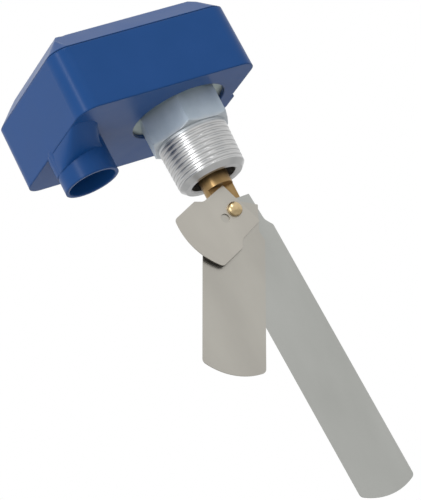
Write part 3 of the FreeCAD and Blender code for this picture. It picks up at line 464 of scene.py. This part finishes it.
def coil(name, first, last):
    """Part of the compression spring's smooth helix of round wire, from one turn to another."""
    low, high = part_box("range_spring")
    x, y = (low[0] + high[0]) / 2, (low[1] + high[1]) / 2
    radius = (high[0] - low[0]) / 2 - SPRING_WIRE_RADIUS
    bottom, top = low[2] + SPRING_WIRE_RADIUS, high[2] - SPRING_WIRE_RADIUS
    rise = (top - bottom) / SPRING_TURNS
    slope = math.atan2(rise, 2 * math.pi * radius)
    outlines = []
    for turns in even(first, last, round(SPRING_STEPS_PER_TURN * (last - first))):
        turn = 2 * math.pi * turns
        out = Vector((math.cos(turn), math.sin(turn), 0))
        along = Vector((-math.sin(turn) * math.cos(slope), math.cos(turn) * math.cos(slope),
                        math.sin(slope)))
        across = out.cross(along)
        middle = Vector((x, y, bottom + rise * turns)) + out * radius
        outline = []
        for side in range(SPRING_SIDES):
            angle = 2 * math.pi * side / SPRING_SIDES
            towards = out * math.cos(angle) + across * math.sin(angle)
            outline.append(middle + towards * SPRING_WIRE_RADIUS)
        outlines.append(outline)
    piece = add_mesh(name, *skin(outlines), CURVED_ANGLE)
    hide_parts("range_spring")
    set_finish(piece, "spring_steel")
    return piece, (x, y, bottom + rise * first), (x, y, bottom + rise * last)


def range_spring():
    """The spring in two halves: a lower coil and an upper coil, each made in place."""
    lower, foot, waist = coil("range_spring_lower", 0, SPRING_TURNS / 2)
    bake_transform(lower)
    upper, waist, head = coil("range_spring_upper", SPRING_TURNS / 2, SPRING_TURNS)
    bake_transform(upper)
    return [lower, upper]


# Casing


def fairing_root():
    """Line on the casing's underside where the ramp starts, from the spigot round to the back."""
    left, right, front = FAIRING_LEFT, FAIRING_RIGHT, FAIRING_FRONT
    root = [on_circle(SPIGOT_X, SPIGOT_Y, SPIGOT_RADIUS, FAIRING_START)]
    root += arc(right - FAIRING_RIGHT_RADIUS, front + FAIRING_RIGHT_RADIUS, FAIRING_RIGHT_RADIUS,
                0, -90, TURN_STEPS)
    root += arc(left + FAIRING_LEFT_RADIUS, front + FAIRING_LEFT_RADIUS, FAIRING_LEFT_RADIUS,
                -90, -180, CORNER_STEPS)
    root += [(left, y) for y in even(front + FAIRING_LEFT_RADIUS, SPIGOT_Y, SIDE_STEPS)[1:]]
    root += arc(SPIGOT_X, SPIGOT_Y, SPIGOT_RADIUS + FAIRING_SWELL, *BACK_BENDS, BACK_STEPS)
    return root


def fairing_bends():
    """Angle on the spigot's wall, in degrees, at which each rib from the root ends."""
    bends = [FAIRING_START]
    bends += even(*TURN_BENDS, TURN_STEPS)
    bends += even(*CORNER_BENDS, CORNER_STEPS)
    bends += even(*SIDE_BENDS, SIDE_STEPS)[1:]
    bends += even(*BACK_BENDS, BACK_STEPS)
    return bends


def fairing_rib(x, y, bend):
    """Closed outline of one rib, from its root down to the spigot's wall."""
    sweep = clamped((FAIRING_START - bend) / FAIRING_DEEPENS_OVER)
    depth = FAIRING_SHALLOW + (FAIRING_DEEP - FAIRING_SHALLOW) * sweep * sweep * (3 - 2 * sweep)
    swell = FAIRING_SWELL * clamped((FAIRING_START - bend) / FAIRING_SWELLS_OVER)
    swell *= min((bend - FAIRING_END) / FAIRING_FADES_OVER + FAIRING_SWELL_LEFT, 1.0)
    foot = on_circle(SPIGOT_X, SPIGOT_Y, SPIGOT_RADIUS + swell + FAIRING_LIFT, bend)
    core = on_circle(SPIGOT_X, SPIGOT_Y, SPIGOT_RADIUS - FAIRING_OVERLAP, bend)
    rib = [(x, y, UNDERSIDE_Z + FAIRING_ROOT)]
    for t in even(0, 1, RIB_STEPS):
        rib.append((x + (foot[0] - x) * t, y + (foot[1] - y) * t, UNDERSIDE_Z - depth * t))
    rib += [(*core, UNDERSIDE_Z - depth), (*core, UNDERSIDE_Z + FAIRING_ROOT)]
    limit = housing_low[0] + FAIRING_INSET
    return [(max(px, limit), py, pz) for px, py, pz in rib]


def spigot_fairing():
    """Smooth skin over the moulded ramp: each rib runs from the underside to the spigot's wall."""
    ribs = [fairing_rib(x, y, bend) for (x, y), bend in zip(fairing_root(), fairing_bends())]
    piece = add_mesh("spigot_fairing", *skin(ribs), CURVED_ANGLE)
    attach(piece, "housing")
    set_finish(piece, "blue_plastic")
    return piece


# Materials


def new_material(name):
    material = bpy.data.materials.new(name)
    material.use_nodes = True
    tree = material.node_tree
    shader = tree.nodes["Principled BSDF"]
    return material, tree, shader


def calculate(tree, operation, first, second):
    """Result of an operation on two outputs."""
    node = tree.nodes.new("ShaderNodeMath")
    node.operation = operation
    tree.links.new(first, node.inputs[0])
    tree.links.new(second, node.inputs[1])
    return node.outputs["Value"]


def colour_mix(tree, factor, first):
    """Node that mixes from a first colour to a second, which the caller sets."""
    node = tree.nodes.new("ShaderNodeMix")
    node.data_type = "RGBA"
    tree.links.new(factor, node.inputs["Factor"])
    tree.links.new(first, node.inputs["A"])
    return node


def noise(tree, scale, detail, stretch=(1, 1, 1)):
    """Noise over the piece's own coordinates."""
    where = tree.nodes.new("ShaderNodeTexCoord")
    mapping = tree.nodes.new("ShaderNodeMapping")
    mapping.inputs["Scale"].default_value = stretch
    tree.links.new(where.outputs["Object"], mapping.inputs["Vector"])
    texture = tree.nodes.new("ShaderNodeTexNoise")
    texture.inputs["Scale"].default_value = scale
    texture.inputs["Detail"].default_value = detail
    tree.links.new(mapping.outputs["Vector"], texture.inputs["Vector"])
    return texture.outputs["Fac"]


def ramp(tree, value, dark, light):
    """Colour between two tones as the noise rises."""
    node = tree.nodes.new("ShaderNodeValToRGB")
    stops = [(NOISE_LOW, dark), (NOISE_HIGH, light)]
    for element, (place, colour) in zip(node.color_ramp.elements, stops):
        element.position = place
        element.color = (*colour, 1)
    tree.links.new(value, node.inputs["Fac"])
    return node.outputs["Color"]


def spread(tree, value, low, high):
    """Number between two levels as the noise rises."""
    node = tree.nodes.new("ShaderNodeMapRange")
    node.inputs["From Min"].default_value = NOISE_LOW
    node.inputs["From Max"].default_value = NOISE_HIGH
    node.inputs["To Min"].default_value = low
    node.inputs["To Max"].default_value = high
    tree.links.new(value, node.inputs["Value"])
    return node.outputs["Result"]


def bump(tree, shader, value, strength, distance):
    node = tree.nodes.new("ShaderNodeBump")
    node.inputs["Strength"].default_value = strength
    node.inputs["Distance"].default_value = distance
    tree.links.new(value, node.inputs["Height"])
    tree.links.new(node.outputs["Normal"], shader.inputs["Normal"])
    return node


def surface(name, dark, light, roughness, metallic=0.0, scale=60.0, stretch=(1, 1, 1),
            relief=0.0, relief_scale=400.0, relief_size=0.0001, edge=0.0, specular=0.5):
    """A procedural finish: colour and roughness vary softly, with an optional fine relief."""
    material, tree, shader = new_material(name)
    tone = noise(tree, scale, TONE_DETAIL, stretch)
    tree.links.new(ramp(tree, tone, dark, light), shader.inputs["Base Color"])
    gloss = spread(tree, tone, roughness * (1 - ROUGHNESS_SPREAD),
                   roughness * (1 + ROUGHNESS_SPREAD))
    tree.links.new(gloss, shader.inputs["Roughness"])
    shader.inputs["Metallic"].default_value = metallic
    rounded = None
    if edge:
        rounded = tree.nodes.new("ShaderNodeBevel")
        rounded.samples = EDGE_SAMPLES
        rounded.inputs["Radius"].default_value = edge
        tree.links.new(rounded.outputs["Normal"], shader.inputs["Normal"])
    if relief:
        grain = noise(tree, relief_scale, RELIEF_DETAIL, stretch)
        node = bump(tree, shader, grain, relief, relief_size)
        if rounded:
            tree.links.new(rounded.outputs["Normal"], node.inputs["Normal"])
    shader.inputs["Specular IOR Level"].default_value = specular
    return material


def plated_fitting():
    """Bright turned thread below a duller hexagon, whose bluish tint is a painted reflection of the
    blue casing.
    """
    material, tree, shader = new_material("plated fitting")
    tone = noise(tree, FITTING_SCALE, TONE_DETAIL)
    bright = ramp(tree, tone, *THREAD_TONES)
    # The hexagon's tone: its own duller grey plus a painted bluish reflection of the casing
    plated = ramp(tree, tone, *HEX_TONES_WITH_PAINTED_REFLECTION)
    where = tree.nodes.new("ShaderNodeTexCoord")
    split = tree.nodes.new("ShaderNodeSeparateXYZ")
    tree.links.new(where.outputs["Object"], split.inputs["Vector"])
    height = tree.nodes.new("ShaderNodeMapRange")
    height.inputs["From Min"].default_value = -FITTING_BLEND
    height.inputs["From Max"].default_value = FITTING_BLEND
    tree.links.new(split.outputs["Z"], height.inputs["Value"])
    mix = colour_mix(tree, height.outputs["Result"], bright)
    tree.links.new(plated, mix.inputs["B"])
    tree.links.new(mix.outputs["Result"], shader.inputs["Base Color"])
    dull = tree.nodes.new("ShaderNodeMath")
    dull.operation = "MULTIPLY_ADD"
    dull.inputs[1].default_value = HEX_EXTRA_ROUGHNESS
    tree.links.new(height.outputs["Result"], dull.inputs[0])
    tree.links.new(spread(tree, tone, *THREAD_ROUGHNESS), dull.inputs[2])
    tree.links.new(dull.outputs["Value"], shader.inputs["Roughness"])
    shader.inputs["Metallic"].default_value = 1.0
    grain = noise(tree, FITTING_RELIEF_SCALE, RELIEF_DETAIL)
    bump(tree, shader, grain, FITTING_RELIEF, FITTING_RELIEF_SIZE)
    return material


def rolled_sheet(name, dark, light):
    return surface(name, dark, light, 0.36, 1.0, scale=45.0, stretch=(1, 1, 0.4), relief=0.04,
                   relief_scale=500.0)


def finishes():
    """Every slot's finish, and the ones of OWN_FINISHES."""
    return {
        "blue_plastic": surface("moulded blue", (0.0065, 0.049, 0.174), (0.0080, 0.052, 0.184),
                                0.32, relief=0.03, relief_scale=1500.0, relief_size=0.00005,
                                edge=0.0012, specular=0.15),
        "black_rubber": surface("gasket rubber", (0.012, 0.014, 0.016), (0.02, 0.021, 0.023), 0.6,
                                relief=0.2),
        "steel_fastener": surface("plated screws", (0.5, 0.5, 0.46), (0.6, 0.6, 0.56), 0.32, 1.0,
                                  relief=0.1, edge=0.0002),
        "nickel_plate": plated_fitting(),
        "bellows_metal": surface("bellows bronze", (0.45, 0.32, 0.18), (0.55, 0.4, 0.24), 0.3, 1.0),
        "zinc_sheet": surface("zinc plated sheet", (0.33, 0.385, 0.375), (0.42, 0.475, 0.465),
                              0.48, 1.0, scale=120.0, relief=0.1),
        # This brass is darker partly for its own browner tone and partly as painted shade of the
        # fitting's bore over the stem
        "brass": surface("brass", (0.27, 0.175, 0.075), (0.37, 0.245, 0.115), 0.36, 1.0,
                         scale=300.0, relief=0.12, relief_scale=900.0),
        "bright_brass": surface("bright brass", (0.50, 0.38, 0.21), (0.62, 0.48, 0.28), 0.3, 1.0,
                                scale=300.0, relief=0.1, relief_scale=900.0),
        "black_plastic": surface("switch case", (0.012, 0.012, 0.013), (0.02, 0.02, 0.021), 0.42,
                                 relief=0.1, edge=0.0005),
        "red_plastic": surface("button red", (0.3, 0.02, 0.012), (0.38, 0.03, 0.02), 0.3),
        "spring_steel": surface("spring wire", (0.4, 0.4, 0.4), (0.5, 0.5, 0.5), 0.3, 1.0),
        "stainless_sheet": rolled_sheet("stainless sheet", (0.385, 0.37, 0.335),
                                        (0.435, 0.42, 0.38)),
        "cool_sheet": rolled_sheet("cooler stainless sheet", (0.37, 0.375, 0.355),
                                   (0.415, 0.42, 0.40)),
        "warm_sheet": rolled_sheet("warmer stainless sheet", (0.415, 0.395, 0.355),
                                   (0.47, 0.45, 0.405)),
    }


def coat(made, finish):
    made.data.materials.clear()
    made.data.materials.append(finish)


def paint(materials, pieces):
    """Every CAD node and every piece takes the finish of its slot, or its own."""
    for part in record["subparts"]:
        finish = OWN_FINISHES.get(part["node"], part["material_slot"])
        coat(nodes[part["node"]], materials[finish])
    for piece in pieces:
        coat(piece, materials[OWN_FINISHES.get(piece.name, piece["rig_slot"])])


# Stage


def seen_ray(tree):
    """One for the rays that show the surroundings: to the camera, in a gloss or through glass."""
    path = tree.nodes.new("ShaderNodeLightPath")
    total = path.outputs["Is Camera Ray"]
    for kind in ("Is Glossy Ray", "Is Transmission Ray"):
        total = calculate(tree, "MAXIMUM", total, path.outputs[kind])
    return total


def floor():
    """Pale floor, seen by the camera and in reflections, that lets the light from below pass."""
    mesh = bpy.data.meshes.new("floor")
    reach = FLOOR_REACH
    corners = [(-reach, -reach, FLOOR_Z), (reach, -reach, FLOOR_Z), (reach, reach, FLOOR_Z),
               (-reach, reach, FLOOR_Z)]
    mesh.from_pydata(corners, [], [(0, 1, 2, 3)])
    plane = link("floor", mesh)
    material, tree, shader = new_material("pale floor")
    tone = noise(tree, FLOOR_NOISE_SCALE, FLOOR_NOISE_DETAIL)
    tree.links.new(ramp(tree, tone, *FLOOR_TONES), shader.inputs["Base Color"])
    shader.inputs["Roughness"].default_value = FLOOR_ROUGHNESS
    clear = tree.nodes.new("ShaderNodeBsdfTransparent")
    mix = tree.nodes.new("ShaderNodeMixShader")
    tree.links.new(seen_ray(tree), mix.inputs[0])
    tree.links.new(clear.outputs["BSDF"], mix.inputs[1])
    tree.links.new(shader.outputs["BSDF"], mix.inputs[2])
    tree.links.new(mix.outputs["Shader"], tree.nodes["Material Output"].inputs["Surface"])
    mesh.materials.append(material)


def direction(azimuth, elevation):
    """Unit vector towards a place given in degrees: azimuth 0 is the front, 90 the right."""
    azimuth, elevation = math.radians(azimuth), math.radians(elevation)
    return Vector((math.sin(azimuth) * math.cos(elevation),
                   -math.cos(azimuth) * math.cos(elevation), math.sin(elevation)))


def panel_glow(tree, where, azimuth, elevation, reach, level):
    """Brightness of one panel in the direction that a ray takes."""
    dot = tree.nodes.new("ShaderNodeVectorMath")
    dot.operation = "DOT_PRODUCT"
    dot.inputs[1].default_value = direction(azimuth, elevation)
    tree.links.new(where, dot.inputs[0])
    glow = tree.nodes.new("ShaderNodeMapRange")
    glow.interpolation_type = "SMOOTHSTEP"
    glow.inputs["From Min"].default_value = math.cos(math.radians(reach * PANEL_RIM))
    glow.inputs["From Max"].default_value = math.cos(math.radians(reach * PANEL_CORE))
    glow.inputs["To Max"].default_value = level
    tree.links.new(dot.outputs["Value"], glow.inputs["Value"])
    return glow.outputs["Result"]


def world():
    """White where it is seen or mirrored, and broad soft panels as the light on the object."""
    studio = bpy.data.worlds.new("studio")
    bpy.context.scene.world = studio
    studio.use_nodes = True
    tree = studio.node_tree
    where = tree.nodes.new("ShaderNodeTexCoord").outputs["Generated"]
    total = panel_glow(tree, where, *PANELS[0])
    for panel in PANELS[1:]:
        total = calculate(tree, "ADD", total, panel_glow(tree, where, *panel))
    mix = colour_mix(tree, seen_ray(tree), total)
    mix.inputs["B"].default_value = (1, 1, 1, 1)
    tree.links.new(mix.outputs["Result"], tree.nodes["Background"].inputs["Color"])


def soft_light(name, towards, width, height, radiance):
    """A rectangular light that faces the object, given by the brightness of its surface."""
    data = bpy.data.lights.new(name, "AREA")
    data.shape = "RECTANGLE"
    data.size = width
    data.size_y = height
    data.energy = radiance * math.pi * width * height
    light = link(name, data)
    towards = Vector(towards).normalized()
    light.location = towards * STRIP_DISTANCE
    light.visible_camera = False
    light.rotation_euler = towards.to_track_quat("Z", "Y").to_euler()


def camera():
    roll = math.radians(VIEW_ROLL)
    away = direction(VIEW_AZIMUTH, VIEW_ELEVATION)
    level = Vector((0, 0, 1)).cross(away).normalized()
    upward = away.cross(level)
    right = level * math.cos(roll) + upward * math.sin(roll)
    top = upward * math.cos(roll) - level * math.sin(roll)
    data = bpy.data.cameras.new("camera")
    data.lens = LENS_MM
    data.sensor_width = SENSOR_MM
    data.clip_start = CLIP_NEAR
    data.clip_end = CLIP_FAR
    eye = link("camera", data)
    turn = Matrix((right, top, away)).transposed().to_4x4()
    eye.matrix_world = Matrix.Translation(VIEW_TARGET + away * VIEW_DISTANCE) @ turn
    bpy.context.scene.camera = eye


pieces = [pipe_fitting(), paddle_screw(), spigot_fairing()]
pieces += range_spring()
for screws in DRIVEN_SCREWS:
    pieces += driven_screws(*screws)
paint(finishes(), pieces)
floor()
world()
for strip in STRIPS:
    soft_light(*strip)
camera()
bpy.context.scene.view_settings.view_transform = "Standard"
